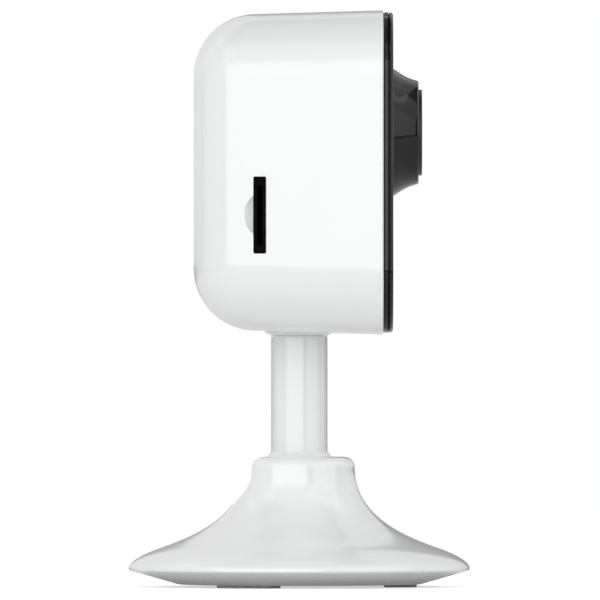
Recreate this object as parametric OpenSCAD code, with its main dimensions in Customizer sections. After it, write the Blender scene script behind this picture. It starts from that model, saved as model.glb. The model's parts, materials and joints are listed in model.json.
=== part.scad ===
// Small indoor security camera: a cube-shaped head on a short stem, held by a
// ball joint in a round trumpet-shaped base.
// Millimetres. +Z is up, the origin is on the floor under the stem's axis, and
// the lens faces -Y.

/* [Head casing] */
// Width and height of the head at its front edge
head_w = 60.5; // [60:0.25:61]
// Height of the head's centre above the floor
head_z = 77.6; // [77:0.2:80]
// Depth of the white casing from its front edge to its flat back
casing_depth = 35.4; // [35:0.2:36]
// How far the casing's front edge lies in front of the stem's axis
casing_front = 15.7; // [15.5:0.1:16]
// Draft of the casing's four sides, in degrees
casing_draft = 1.67; // [1.4:0.05:1.9]
// Radius of the four long corners at the front edge
corner_r = 12; // [11.5:0.1:12.5]
// Radius of the rounded edge round the back
back_round = 11.25; // [11:0.05:11.4]
// Wall of the casing
casing_wall = 1.8; // [1.6:0.1:1.9]
// Thickness of the black front panel
panel_t = 1.8; // [1.6:0.1:2]
// Step from the casing's edge in to the panel's edge
panel_step = 0.35; // [0.2:0.05:0.6]

/* [Lens] */
// Height of the lens axis above the floor
lens_z = 85.2; // [84.8:0.1:85.6]
// Radius of the flared lens housing where it meets the panel
housing_root_r = 12; // [11.8:0.1:12.4]
// Radius of the lens housing at its front rim
housing_tip_r = 9.75; // [9.6:0.05:9.9]
// How far the lens housing stands out of the panel
housing_h = 4.85; // [4.7:0.05:5]
// Outer radius of the trim ring in the front rim
trim_r = 8.05; // [8:0.01:8.1]
// How far the trim ring stands out of the rim
trim_h = 0.65; // [0.4:0.05:0.8]
// Travel of the infrared filter's slide
filter_travel = 7; // [6.8:0.1:7]

/* [Card slot and port] */
// Width of the card slot
slot_w = 2.35; // [2.2:0.05:2.5]
// Length of the card slot
slot_l = 14.3; // [14.1:0.1:14.5]
// Distance of the slot's middle behind the stem's axis
slot_y = 7.36; // [7.3:0.02:7.4]
// Height of the slot's middle above the floor
slot_z = 69.6; // [69.4:0.1:69.8]
// Radius of the finger scoop beside the slot
scoop_r = 4.8; // [4.6:0.1:5]
// Height of the power inlet's centre above the floor
port_z = 63.6; // [63.4:0.1:63.8]
// Travel of the reset button
button_travel = 0.5; // [0.4:0.05:0.5]

/* [Stem and ball] */
// Radius of the stem
stem_r = 5.27; // [5.2:0.01:5.3]
// Radius of the ball at the stem's foot
ball_r = 7.1; // [7:0.05:7.15]
// Height of the ball's centre above the floor
pivot_z = 20.6; // [20.5:0.05:20.7]
// Running clearance between the ball and its seat
ball_clear = 0.1; // [0.06:0.01:0.1]
// Radius of the turning spigot on top of the stem
spigot_r = 3.6; // [3.5:0.05:3.6]
// Running clearance between the spigot and the head's bore
spigot_clear = 0.05; // [0.03:0.01:0.1]

/* [Base] */
// Radius of the base at its rim
base_r = 32; // [31.8:0.1:32.2]
// Height of the neck's flat top above the floor
neck_z = 24.4; // [24.3:0.05:24.5]
// Radius of the neck below its rounded top edge
neck_r = 10.4; // [10.3:0.05:10.5]
// Half the width of the slot in the back of the neck
neck_slot_w = 5.45; // [5.4:0.01:5.5]
// Wall of the base
base_wall = 2.2; // [2:0.05:2.2]
// Height of the rubber feet below the base plate
foot_h = 0.5; // [0.4:0.1:0.6]
// Distance of each foot from the stem's axis
foot_ring = 18.9; // [18.8:0.1:19]

/* [Hidden] */
$fn = 64;

// Colours
white = "#f1f3f2";
gloss_black = "#111214";
soft_black = "#232427";
steel = "#b9bcc0";
board_green = "#1d5a3a";
glass_tint = "#9fb4c8";

// Arc steps in one rounded corner of an outline
corner_steps = 8;
// Steps in the rounded back of the casing
back_steps = 9;
// Gap left between parts that only lie side by side
gap = 0.1;
// Extra radius of a hole round its screw's shank
screw_gap = 0.03;
// Gap between parts that rest on each other
seat_gap = 0.02;
// Overlap that joins touching shapes of one part
skin = 0.01;

casing_back = casing_depth - casing_front;
panel_y = -casing_front - panel_t;
housing_tip_y = panel_y - housing_h;
trim_y = housing_tip_y - trim_h;

// Swivel under the head
boss_low_z = 47.25;
boss_top_z = 55;
boss_r = 5.6;
stem_top_z = boss_low_z - 0.15;
ring_top_z = stem_top_z + 0.8;
washer_h = 0.8;

// Stack of parts behind the lens, as distances along Y
lens_bore_r = 7.55;
sleeve_r = 9.5;
barrel_r = 6;
sensor_board_y = -0.1;
board_t = 1.2;
filter_front_y = -5.4;
mount_front_y = -13;
glass_seat_y = trim_y + 1.4;
baffle_step = 0.65;
baffle_front_y = glass_seat_y + 0.85;
barrel_front_y = baffle_front_y + 4 * baffle_step + 0.05;
barrel_back_y = -10;
// Open window in each half of the filter's slide
filter_window_r = 2.7;
filter_slide_y = -4.1;

// Front frame and the posts that it carries
frame_y = -casing_front + 0.2;
frame_t = 1.5;
frame_half = head_w / 2 - casing_wall - 0.15;
frame_back_y = frame_y + frame_t;
column_at = 21.5;
column_r = 2.6;
main_board_y = 4.9;
// Rear face of the main board, where its parts are soldered
board_face_y = main_board_y + board_t;
board_posts = [[-23, 92.5], [23, 92.5], [23, 62], [-9.5, 61]];
sensor_posts = [[-15, lens_z], [15, lens_z]];
led_row_z = 67.5;
led_x = 10.5;
led_board_y = -9.4;
led_pins_x = [-6.2, 6.2];
mic_z = 54.6;
mic_r = 3;

// Rear wall and what looks out of it
rear_wall_y = casing_back - casing_wall;
speaker_z = 86;
speaker_r = 10;
button_x = 11;
button_r = 1.9;
button_clear = 0.06;
port_board_z = 61;
port_board_t = 1;
// The board ends in front of the reset button's flange
port_board_back = 16.3;
port_w = 7.6;
port_h = 2.9;

// Base outline: two curves run from the neck down to the rim
foot_angle = 20;
neck_edge_r = 2;
flare_mid = [24.8, 7.75];
rim_z = 3.3;
seat_r = ball_r + ball_clear;
cup_r = 8.4;
cup_low_z = 11.5;
cup_top_z = 16.3;
cup_bore_top_z = 16.5;
retainer_z = 8.5;
retainer_r = 14;
retainer_bolt_ring = 11.3;
plate_r = 30.1;
plate_top_z = 2.4;
plate_flat_r = 22.7;
ballast_z = 2.75;
foot_angles = [270, 30, 150];
retainer_angles = [90, 210, 330];
foot_len = 6.2;
foot_wid = 11.6;
foot_corner_r = 1.6;
foot_recess = 0.5;

// Half the casing's width at a distance y behind the stem's axis
function casing_half(y) = head_w / 2 - (y + casing_front) * tan(casing_draft);

// Outline of a rectangle with round corners
function round_rect(w, h, r, steps = corner_steps) = [
    for (c = [[1, 1, 0], [-1, 1, 90], [-1, -1, 180], [1, -1, 270]])
        for (i = [0 : steps])
            let (a = c[2] + i * 90 / steps)
                [c[0] * (w / 2 - r) + r * cos(a), c[1] * (h / 2 - r) + r * sin(a)]
];

// Point and inward normal of a cubic curve through four control points
function curve_at(p, t) =
    pow(1 - t, 3) * p[0] + 3 * pow(1 - t, 2) * t * p[1]
    + 3 * (1 - t) * t * t * p[2] + pow(t, 3) * p[3];
function curve_slope(p, t) =
    3 * pow(1 - t, 2) * (p[1] - p[0]) + 6 * (1 - t) * t * (p[2] - p[1])
    + 3 * t * t * (p[3] - p[2]);
function curve_in(p, t, d) =
    let (s = curve_slope(p, t))
        curve_at(p, t) + d * [s[1], -s[0]] / norm(s);

flare_dir = [cos(foot_angle), -sin(foot_angle)];
flare_top = [neck_r, neck_z - neck_edge_r];
neck_curve = [flare_top, flare_top - [0, 8.4], flare_mid - 7 * flare_dir, flare_mid];
rim_curve = [flare_mid, flare_mid + 1.7 * flare_dir, [base_r, rim_z + 2.2], [base_r, rim_z]];

// ---- Helpers: shapes that run along Y, placed at [x, z] ----

module bar_y(at, r, y0, y1) {
    translate([at[0], y0, at[1]]) rotate([-90, 0, 0]) cylinder(r = r, h = y1 - y0);
}

module block(x0, x1, y0, y1, z0, z1) {
    translate([x0, y0, z0]) cube([x1 - x0, y1 - y0, z1 - z0]);
}

module plate_y(at, w, h, r, y0, y1) {
    translate([at[0], y0, at[1]]) rotate([-90, 0, 0])
        linear_extrude(y1 - y0) polygon(round_rect(w, h, r));
}

// A turned shape round the lens axis; its outline is [radius, distance along Y]
module turned_y(outline, z) {
    translate([0, 0, z]) rotate([-90, 0, 0]) rotate_extrude() polygon(outline);
}

// A pan-head screw that points along +Z, with the underside of its head at z = 0
module screw(shank_r, length, head_r, head_h) {
    slot_depth = head_h * 0.45;
    difference() {
        union() {
            translate([0, 0, -head_h]) cylinder(r = head_r, h = head_h);
            cylinder(r = shank_r, h = length);
        }
        for (turn = [0, 90])
            rotate([0, 0, turn])
                translate([-head_r * 0.55, -head_r * 0.12, -head_h - skin])
                    cube([head_r * 1.1, head_r * 0.24, slot_depth + skin]);
    }
}

// ---- Head casing ----

// One thin slice of the casing at a distance y, set in by an inset
module casing_slice(y, inset, r) {
    side = 2 * (casing_half(y) - inset);
    plate_y([0, head_z], side, side, r, y, y + skin);
}

// The casing's solid form, shrunk all round by wall
module casing_form(wall, front) {
    round_r = back_round - wall;
    back_y = casing_back - wall;
    corner = corner_r - wall;
    hull() {
        casing_slice(front, wall, corner);
        for (i = [0 : back_steps]) {
            a = i * 90 / back_steps;
            inset = round_r * (1 - cos(a));
            y = back_y - round_r * (1 - sin(a));
            casing_slice(y - skin, wall + inset, corner - inset);
        }
    }
}

module case_columns(y0, y1, r) {
    for (sx = [-1, 1])
        for (sz = [-1, 1])
            bar_y([sx * column_at, head_z + sz * column_at], r, y0, y1);
}

// Openings for sound in the rear wall: a centre hole and two rings of holes
module sound_holes() {
    hole_r = 0.65;
    pitch = 3;
    for (ring = [0 : 2])
        for (i = [0 : max(0, 6 * ring - 1)]) {
            a = i * 60 / max(1, ring);
            bar_y([ring * pitch * cos(a), speaker_z + ring * pitch * sin(a)],
                hole_r, rear_wall_y - 1, casing_back + 1);
        }
}

module slot_cut() {
    wall_x = casing_half(slot_y);
    scoop_depth = 0.9;
    scoop_sag = 1.65;
    block(-wall_x - 2, -wall_x + 3, slot_y - slot_w / 2, slot_y + slot_w / 2,
        slot_z - slot_l / 2, slot_z + slot_l / 2);
    intersection() {
        translate([-wall_x - 2, slot_y + slot_w / 2 + scoop_sag - scoop_r, slot_z])
            rotate([0, 90, 0]) cylinder(r = scoop_r, h = 2 + scoop_depth);
        block(-wall_x - 2, -wall_x + 3, slot_y, slot_y + 8, slot_z - 8, slot_z + 8);
    }
}

module head_casing() {
    collar_r = 6.5;
    collar_h = 0.45;
    color(white)
    difference() {
        union() {
            difference() {
                casing_form(0, -casing_front);
                difference() {
                    casing_form(casing_wall, -casing_front - 1);
                    case_columns(frame_back_y + gap, casing_back, column_r);
                    cylinder(r = boss_r, h = boss_top_z);
                }
            }
            translate([0, 0, boss_low_z])
                cylinder(r1 = stem_r + 0.03, r2 = collar_r, h = collar_h);
            translate([0, 0, boss_low_z + collar_h]) cylinder(r = collar_r, h = 1);
        }
        // Bore for the stem's spigot, and the recess for the friction ring
        translate([0, 0, boss_low_z - 1])
            cylinder(r = spigot_r + spigot_clear, h = boss_top_z - boss_low_z + 2);
        translate([0, 0, boss_low_z - 1])
            cylinder(r = 4.75, h = ring_top_z + seat_gap - boss_low_z + 1);
        case_columns(frame_back_y, frame_back_y + 9, 1 + screw_gap);
        slot_cut();
        sound_holes();
        plate_y([0, port_z], port_w + 1, port_h + 1, 1, rear_wall_y - 1, casing_back + 1);
        bar_y([button_x, port_z], button_r + button_clear, rear_wall_y - 1, casing_back + 1);
    }
}

// ---- Front panel and frame ----

module front_panel() {
    edge_r = 1.2;
    half = head_w / 2 - panel_step;
    corner = corner_r - panel_step;
    steps = 4;
    color(gloss_black)
    difference() {
        hull() {
            plate_y([0, head_z], 2 * half, 2 * half, corner, -casing_front - skin, -casing_front);
            for (i = [0 : steps]) {
                inset = edge_r * (1 - cos(i * 90 / steps));
                y = panel_y + edge_r * (1 - sin(i * 90 / steps));
                plate_y([0, head_z], 2 * (half - inset), 2 * (half - inset), corner - inset,
                    y, y + skin);
            }
        }
        bar_y([0, lens_z], sleeve_r + 0.05, panel_y - 1, 0);
        // Thin windows in front of the infrared lights and the light sensor
        for (x = [-led_x, led_x])
            bar_y([x, led_row_z], 3, panel_y + 0.8, 0);
        bar_y([-3, led_row_z], 1.5, panel_y + 0.8, 0);
        bar_y([3, led_row_z], 1, panel_y - 1, 0);
        bar_y([0, mic_z], 0.6, panel_y - 1, 0);
    }
}

module front_frame() {
    skirt = 1.2;
    skirt_y = -9;
    corner = corner_r - casing_wall - 0.15;
    post_r = 2;
    pin_r = 0.9;
    color(soft_black)
    difference() {
        union() {
            plate_y([0, head_z], 2 * frame_half, 2 * frame_half, corner, frame_y, frame_back_y);
            difference() {
                plate_y([0, head_z], 2 * frame_half - 0.6, 2 * frame_half - 0.6, corner - 0.3,
                    frame_back_y - skin, skirt_y);
                plate_y([0, head_z], 2 * (frame_half - skirt), 2 * (frame_half - skirt),
                    corner - skirt, frame_back_y - 2, skirt_y + 1);
            }
            for (at = board_posts)
                bar_y(at, post_r, frame_back_y - skin, main_board_y);
            for (at = sensor_posts)
                bar_y(at, 1.7, frame_back_y - skin, sensor_board_y);
            for (x = led_pins_x)
                bar_y([x, led_row_z], pin_r, frame_back_y - skin, led_board_y + 1.5);
            for (x = led_pins_x)
                bar_y([x, led_row_z], 1.3, frame_back_y - skin, led_board_y);
        }
        bar_y([0, lens_z], sleeve_r + 0.5, frame_y - 1, frame_back_y + 1);
        case_columns(frame_y - 1, frame_back_y + 1, 1.2);
        for (at = board_posts)
            bar_y(at, 0.8 + screw_gap, main_board_y - 6, main_board_y + 1);
        for (at = sensor_posts)
            bar_y(at, 0.7 + screw_gap, sensor_board_y - 5, sensor_board_y + 1);
        for (x = [-led_x, led_x])
            bar_y([x, led_row_z], 2.6, frame_y - 1, frame_back_y + 1);
        for (x = [-3, 3])
            bar_y([x, led_row_z], 1.2, frame_y - 1, frame_back_y + 1);
        bar_y([0, mic_z], 0.8, frame_y - 1, frame_back_y + 1);
        // Recesses for the heads of the four case screws
        case_columns(frame_y - 1, frame_y + 0.9, 2.1);
    }
}

module case_screws() {
    color(steel)
    for (sx = [-1, 1])
        for (sz = [-1, 1])
            translate([sx * column_at, frame_y + 0.9, head_z + sz * column_at])
                rotate([-90, 0, 0]) screw(1, 9, 2, 0.8);
}

// ---- Lens ----

// Flared outline of the housing, from the panel out to its rim
module lens_housing() {
    flare_steps = 10;
    tip_round = 0.4;
    root = [housing_root_r, panel_y];
    tip = [housing_tip_r, housing_tip_y + tip_round];
    flare = [root, root + [-0.75, -1.3], tip + [0.6, 2.2], tip];
    color(gloss_black)
    turned_y(concat(
        [[lens_bore_r, -13.9], [sleeve_r, -13.9], [sleeve_r, panel_y]],
        [for (i = [0 : flare_steps]) curve_at(flare, i / flare_steps)],
        [[housing_tip_r - 0.12, housing_tip_y + 0.12],
            [housing_tip_r - tip_round, housing_tip_y],
            [trim_r + 0.03, housing_tip_y], [trim_r + 0.03, glass_seat_y],
            [lens_bore_r, glass_seat_y]]
    ), lens_z);
}

module lens_trim_ring() {
    inner_r = 6.4;
    bevel = 0.5;
    color(soft_black)
    turned_y([
        [trim_r, trim_y + 0.15], [trim_r, glass_seat_y - seat_gap], [inner_r, glass_seat_y - seat_gap],
        [inner_r, trim_y + bevel], [inner_r + bevel, trim_y], [trim_r - 0.15, trim_y]
    ], lens_z);
}

module cover_glass() {
    rim_t = 0.8;
    dome_r = 22;
    dome_h = 0.85;
    color(glass_tint, 0.4)
    union() {
        bar_y([0, lens_z], lens_bore_r - 0.04, glass_seat_y + 0.01, glass_seat_y + rim_t);
        intersection() {
            bar_y([0, lens_z], 6.3, glass_seat_y - 2, glass_seat_y + 0.4);
            translate([0, glass_seat_y - dome_h + dome_r, lens_z]) sphere(r = dome_r, $fn = 180);
        }
    }
}

module lens_baffle() {
    step = baffle_step;
    front = baffle_front_y;
    color(soft_black)
    turned_y([
        [lens_bore_r - 0.04, front], [lens_bore_r - 0.04, front + 4 * step],
        [5.3, front + 4 * step], [5.3, front + 3 * step], [5.7, front + 3 * step],
        [5.7, front + 2 * step], [6.15, front + 2 * step], [6.15, front + step],
        [6.6, front + step], [6.6, front]
    ], lens_z);
}

module lens_barrel() {
    front = barrel_front_y;
    flange_t = 2;
    color(soft_black)
    turned_y([
        [7.2, front], [7.2, front + flange_t], [barrel_r, front + flange_t],
        [barrel_r, -6], [3.2, -6], [3.2, -7], [4.1, -7], [4.1, barrel_back_y], [3, barrel_back_y],
        [3, front + 2.4], [5.1, front + 2.4], [5.1, front]
    ], lens_z);
}

module front_lens() {
    front = barrel_front_y;
    color(glass_tint, 0.5)
    intersection() {
        bar_y([0, lens_z], 5.05, front - 2, front + 2.3);
        translate([0, front + 7.6, lens_z]) sphere(r = 9);
    }
}

module rear_lens() {
    color(glass_tint, 0.5)
    intersection() {
        bar_y([0, lens_z], 4.05, barrel_back_y + 0.1, -7.05);
        translate([0, -2.1, lens_z]) sphere(r = 7.8);
    }
}

module lens_mount() {
    flange_w = 22;
    flange_h = 17;
    color(soft_black)
    difference() {
        union() {
            bar_y([0, lens_z], 8, mount_front_y, filter_front_y);
            plate_y([0, lens_z], flange_w, flange_h, 1.5, filter_front_y - 1.2, filter_front_y);
        }
        bar_y([0, lens_z], barrel_r + screw_gap, mount_front_y - 1, 0);
    }
}

// ---- Infrared filter ----

module filter_housing() {
    color(soft_black)
    difference() {
        block(-12.9, 12.9, filter_front_y + seat_gap, sensor_board_y - seat_gap, lens_z - 8, lens_z + 8);
        // Room for the slide, for the sensor and for the light
        block(-12, 12, -4.4, -2.2, lens_z - 4.6, lens_z + 4.6);
        block(-5.2, 5.2, -2.6, 1, lens_z - 5.2, lens_z + 5.2);
        bar_y([0, lens_z], 3.6, -7, -3);
        // Room for the coil
        block(5.8, 12, -4.4, -1, lens_z - 7.2, lens_z - 4.8);
    }
}

module filter_slide() {
    // At rest the left window, which holds the infrared filter, is on the axis
    pane = 6.2;
    color("#d8d2c4")
    difference() {
        block(-4.2, 4.2 + filter_travel, filter_slide_y, filter_slide_y + 1.3,
            lens_z - 4.3, lens_z + 4.3);
        for (x = [0, filter_travel])
            block(x - pane / 2, x + pane / 2, -5, -3, lens_z - pane / 2, lens_z + pane / 2);
        for (x = [0, filter_travel])
            bar_y([x, lens_z], filter_window_r, -5, 0);
    }
}

module filter_pane(x) {
    pane = 6.1;
    block(x - pane / 2, x + pane / 2, -3.8, -3.02, lens_z - pane / 2, lens_z + pane / 2);
}

module infrared_filter() {
    color("#7fb0a4", 0.6) filter_pane(0);
}

module clear_filter() {
    color(glass_tint, 0.4) filter_pane(filter_travel);
}

module filter_coil() {
    color("#a5642e")
    difference() {
        block(6, 11.8, -4.2, -1.2, lens_z - 7, lens_z - 5);
        block(7.6, 10.2, -3.3, -2.1, lens_z - 8, lens_z - 4);
    }
}

// ---- Boards and what they carry ----

module image_sensor() {
    color("#3a3d55")
    block(-4.5, 4.5, sensor_board_y - 1.1, sensor_board_y - seat_gap, lens_z - 4.5, lens_z + 4.5);
}

module sensor_board() {
    color(board_green)
    difference() {
        plate_y([0, lens_z], 34, 22, 1.5, sensor_board_y, sensor_board_y + board_t);
        for (at = sensor_posts)
            bar_y(at, 0.9, sensor_board_y - 1, sensor_board_y + 2);
    }
}

module sensor_screws() {
    color(steel)
    for (at = sensor_posts)
        translate([at[0], sensor_board_y + board_t, at[1]])
            rotate([90, 0, 0]) screw(0.7, 5, 1.5, 1);
}

module board_connector() {
    color("#e8e4d8")
    block(-7, 7, sensor_board_y + board_t + seat_gap, main_board_y - seat_gap, lens_z - 10, lens_z - 6);
}

module main_board() {
    color(board_green)
    difference() {
        plate_y([0, 77.5], 52, 37, 1.5, main_board_y, main_board_y + board_t);
        for (at = board_posts)
            bar_y(at, 1, main_board_y - 1, main_board_y + 2);
    }
}

module board_screws() {
    color(steel)
    for (at = board_posts)
        translate([at[0], main_board_y + board_t, at[1]])
            rotate([90, 0, 0]) screw(0.8, 5, 1.8, 1.1);
}

module processor() {
    color("#2b2d33") block(6, 18, board_face_y + seat_gap, board_face_y + 1.2, 68, 80);
}

module memory_chip() {
    color("#2b2d33") block(-6, 3, board_face_y + seat_gap, board_face_y + 1.1, 80, 92);
}

module thermal_pad() {
    color("#9aa7b8") block(6, 18, board_face_y + 1.22, board_face_y + 1.98, 68, 80);
}

module heat_spreader() {
    fin_count = 5;
    color("#c9ccd0") {
        block(4, 22, board_face_y + 2, board_face_y + 3, 66.5, 82);
        for (i = [0 : fin_count - 1])
            block(5 + i * 3.8, 5.9 + i * 3.8, board_face_y + 2.9, board_face_y + 5, 66.5, 82);
    }
}

// Socket on the main board, with a throat that reaches out to the casing's slot
module card_socket() {
    card_w = 11.2;
    card_t = 1.05;
    throat_x = -27.6;
    throat_wall = 0.6;
    mouth_x = -26.1;
    end_x = -12.4;
    end_wall = 1.2;
    floor_t = 0.4;
    y1 = board_face_y + 2.2;
    color(soft_black)
    difference() {
        union() {
            block(mouth_x, end_x, board_face_y + seat_gap, y1, slot_z - 7, slot_z + 7);
            block(throat_x, mouth_x + skin, slot_y - slot_w / 2 - throat_wall,
                slot_y + slot_w / 2 + throat_wall,
                slot_z - slot_l / 2 - throat_wall, slot_z + slot_l / 2 + throat_wall);
        }
        block(throat_x - 1, mouth_x - floor_t, slot_y - slot_w / 2, slot_y + slot_w / 2,
            slot_z - slot_l / 2, slot_z + slot_l / 2);
        block(throat_x - 1, end_x - end_wall, slot_y - card_t / 2, slot_y + card_t / 2,
            slot_z - card_w / 2, slot_z + card_w / 2);
    }
}

module led_board() {
    color(board_green)
    difference() {
        block(-15, 15, led_board_y + seat_gap, led_board_y + 1, led_row_z - 3.6, led_row_z + 3.6);
        for (x = led_pins_x)
            bar_y([x, led_row_z], 0.95, led_board_y - 1, led_board_y + 2);
    }
}

module infrared_leds() {
    color("#5b4a63", 0.8)
    for (x = [-led_x, led_x]) {
        bar_y([x, led_row_z], 2.4, led_board_y - 3.4, led_board_y);
        intersection() {
            translate([x, led_board_y - 3.4, led_row_z]) sphere(r = 2.4);
            bar_y([x, led_row_z], 3, led_board_y - 7, led_board_y - 3.3);
        }
    }
}

module light_sensor() {
    color("#c9a25a", 0.9) bar_y([-3, led_row_z], 1.5, led_board_y - 2.5, led_board_y);
}

module status_led() {
    color("#e8e6d8") block(2.2, 3.8, led_board_y - 0.8, led_board_y, led_row_z - 0.8, led_row_z + 0.8);
}

module light_pipe() {
    color("#dfe8ee", 0.6) {
        bar_y([3, led_row_z], 0.95, panel_y + 0.05, led_board_y - 1);
        bar_y([3, led_row_z], 1.6, frame_back_y + 0.1, frame_back_y + 1);
    }
}

module microphone() {
    color("#b8bcc2")
    difference() {
        bar_y([0, mic_z], mic_r, frame_back_y + 1, frame_back_y + 3.6);
        bar_y([0, mic_z], 0.5, frame_back_y, frame_back_y + 1.6);
    }
}

module microphone_boot() {
    color(soft_black)
    difference() {
        bar_y([0, mic_z], mic_r + 0.7, frame_back_y + seat_gap, frame_back_y + 3.2);
        bar_y([0, mic_z], mic_r + 0.02, frame_back_y + 0.98, frame_back_y + 4);
        bar_y([0, mic_z], 0.8, frame_back_y - 1, frame_back_y + 2);
    }
}

// ---- Speaker ----

module speaker() {
    front = rear_wall_y - 5.6;
    color("#55585e")
    difference() {
        union() {
            bar_y([0, speaker_z], 6, front, front + 2.6);
            bar_y([0, speaker_z], speaker_r, front + 2.5, rear_wall_y - 0.8);
        }
        bar_y([0, speaker_z], speaker_r - 1, front + 3.6, rear_wall_y);
    }
}

module speaker_cone() {
    front = rear_wall_y - 5.6;
    color("#2f3034")
    turned_y([
        [0, front + 4], [3.6, front + 4], [4.2, front + 3.7], [8.6, front + 4.3],
        [8.95, front + 4.3], [8.95, front + 4.5], [4.2, front + 4], [3.6, front + 4.4],
        [0, front + 4.6]
    ], speaker_z);
}

module speaker_gasket() {
    color("#1c1c1e")
    difference() {
        bar_y([0, speaker_z], speaker_r, rear_wall_y - 0.78, rear_wall_y - seat_gap);
        bar_y([0, speaker_z], speaker_r - 1.6, rear_wall_y - 2, rear_wall_y + 1);
    }
}

// ---- Power inlet and reset button ----

module port_board() {
    color(board_green)
    block(-7, 15, 10.4, port_board_back, port_board_z, port_board_z + port_board_t);
}

module power_inlet() {
    low_z = port_board_z + port_board_t + seat_gap;
    mouth_y = casing_back - 0.5;
    wall = 0.3;
    color(steel) {
        difference() {
            plate_y([0, port_z], port_w, port_h, 0.7, 13.4, mouth_y);
            plate_y([0, port_z], port_w - 2 * wall, port_h - 2 * wall, 0.5, 14.2, mouth_y + 1);
        }
        // Tongue that carries the contacts
        block(-2, 2, 14.1, mouth_y - 0.8, port_z - 0.1, port_z + 0.4);
        // Solder tabs down to the board
        for (x = [-3.2, 2.6])
            block(x, x + 0.6, 14, port_board_back, low_z, port_z - port_h / 2 + 0.1);
    }
}

module port_ribbon() {
    ribbon_t = 0.25;
    top_z = port_board_z + port_board_t + seat_gap;
    color("#c98f3a")
    translate([-6, 0, 0]) rotate([90, 0, 90])
        linear_extrude(5)
            polygon([
                [board_face_y + seat_gap, top_z], [13, top_z], [13, top_z + ribbon_t],
                [board_face_y + seat_gap + ribbon_t, top_z + ribbon_t],
                [board_face_y + seat_gap + ribbon_t, top_z + 4], [board_face_y + seat_gap, top_z + 4]
            ]);
}

module reset_switch() {
    color("#c4c6c9") {
        block(button_x - 3, button_x + 3, 11, 14.4,
            port_board_z + port_board_t + seat_gap, port_board_z + 4.6);
        bar_y([button_x, port_z], 1, 14.3, 15);
    }
}

module reset_button() {
    flange_r = 2.6;
    color(gloss_black) {
        bar_y([button_x, port_z], button_r, rear_wall_y - 0.9, casing_back - 0.05);
        bar_y([button_x, port_z], flange_r, rear_wall_y - 0.9, rear_wall_y - seat_gap);
        bar_y([button_x, port_z], 0.9, 15 + button_travel + 0.06, rear_wall_y - 0.8);
    }
}

// ---- Antenna ----

module antenna() {
    color("#2c6d4a") block(-16, 16, -4, 4, 104.4, 105.2);
}

module antenna_cable() {
    wire_r = 0.55;
    bend_r = 2;
    x = -13;
    run_y = board_face_y + 1.4;
    top_z = 103.8;
    color(soft_black) {
        bar_y([x, top_z], wire_r, 1, run_y - bend_r);
        translate([x, run_y - bend_r, top_z - bend_r])
            rotate([90, 0, 90]) rotate_extrude(angle = 90)
                translate([bend_r, 0]) circle(r = wire_r);
        translate([x, run_y, 93]) cylinder(r = wire_r, h = top_z - bend_r - 93);
        // Snap-on plug at the board's end
        bar_y([x, 92.4], 1.4, board_face_y + seat_gap, run_y + 0.8);
    }
}

// ---- Stem ----

module stem() {
    color(white)
    difference() {
        union() {
            translate([0, 0, pivot_z]) sphere(r = ball_r);
            translate([0, 0, pivot_z]) cylinder(r = stem_r, h = stem_top_z - pivot_z);
            translate([0, 0, stem_top_z - 1])
                cylinder(r = spigot_r, h = boss_top_z + 0.05 - stem_top_z + 1);
        }
        translate([0, 0, 43]) cylinder(r = 1.25 + screw_gap, h = 15);
    }
}

module friction_ring() {
    color(soft_black)
    difference() {
        translate([0, 0, stem_top_z + 0.01]) cylinder(r = 4.65, h = ring_top_z - stem_top_z - 0.01);
        cylinder(r = spigot_r + 0.1, h = ring_top_z + 1);
    }
}

module stem_washer() {
    washer_z = boss_top_z + 0.06;
    color(steel)
    difference() {
        translate([0, 0, washer_z]) cylinder(r = 5.2, h = washer_h);
        translate([0, 0, washer_z - 1]) cylinder(r = 1.4, h = washer_h + 2);
    }
}

module stem_screw() {
    head_z0 = boss_top_z + 0.07 + washer_h;
    color(steel) translate([0, 0, head_z0]) rotate([180, 0, 0]) screw(1.25, 11, 2.6, 1.5);
}

// ---- Base ----

module base_shell() {
    curve_steps = 14;
    rim_steps = 7;
    inner_first = 4;
    edge_steps = 5;
    screw_boss_r = 2.4;
    color(white)
    difference() {
        union() {
            rotate_extrude() polygon(concat(
                [[0, neck_z]],
                [for (i = [0 : edge_steps])
                    let (a = 90 - i * 90 / edge_steps)
                        flare_top + neck_edge_r * [cos(a) - 1, sin(a)]],
                [for (i = [1 : curve_steps]) curve_at(neck_curve, i / curve_steps)],
                [for (i = [1 : rim_steps]) curve_at(rim_curve, i / rim_steps)],
                [[31.75, 3.05], [31.2, 2.9], [30.2, 2.63], [30.2, rim_z], [29.6, rim_z]],
                [for (i = [curve_steps : -1 : inner_first + 3])
                    curve_in(neck_curve, i / curve_steps, base_wall)],
                [[retainer_r + 0.1, retainer_z + 2], [0, retainer_z + 2]]
            ));
            for (a = foot_angles)
                rotate([0, 0, a]) translate([foot_ring, 0, plate_top_z + seat_gap])
                    cylinder(r = screw_boss_r, h = 6);
        }
        // Seat for the ball, open below for the sprung cup
        translate([0, 0, pivot_z]) sphere(r = seat_r);
        translate([0, 0, cup_bore_top_z - 1]) cylinder(r = seat_r, h = pivot_z - cup_bore_top_z + 1);
        translate([0, 0, retainer_z]) cylinder(r = cup_r + 0.08, h = cup_bore_top_z - retainer_z);
        // Slot that lets the stem fold back
        translate([0, 0, pivot_z]) rotate([-90, 0, 0]) cylinder(r = neck_slot_w, h = neck_r + 6);
        block(-neck_slot_w, neck_slot_w, 0, neck_r + 6, pivot_z, neck_z + 1);
        for (a = retainer_angles)
            rotate([0, 0, a]) translate([retainer_bolt_ring, 0, retainer_z])
                cylinder(r = 0.9 + screw_gap, h = 5.5);
        for (a = foot_angles)
            rotate([0, 0, a]) translate([foot_ring, 0, 0]) cylinder(r = 1.1 + screw_gap, h = 7);
    }
}

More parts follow.
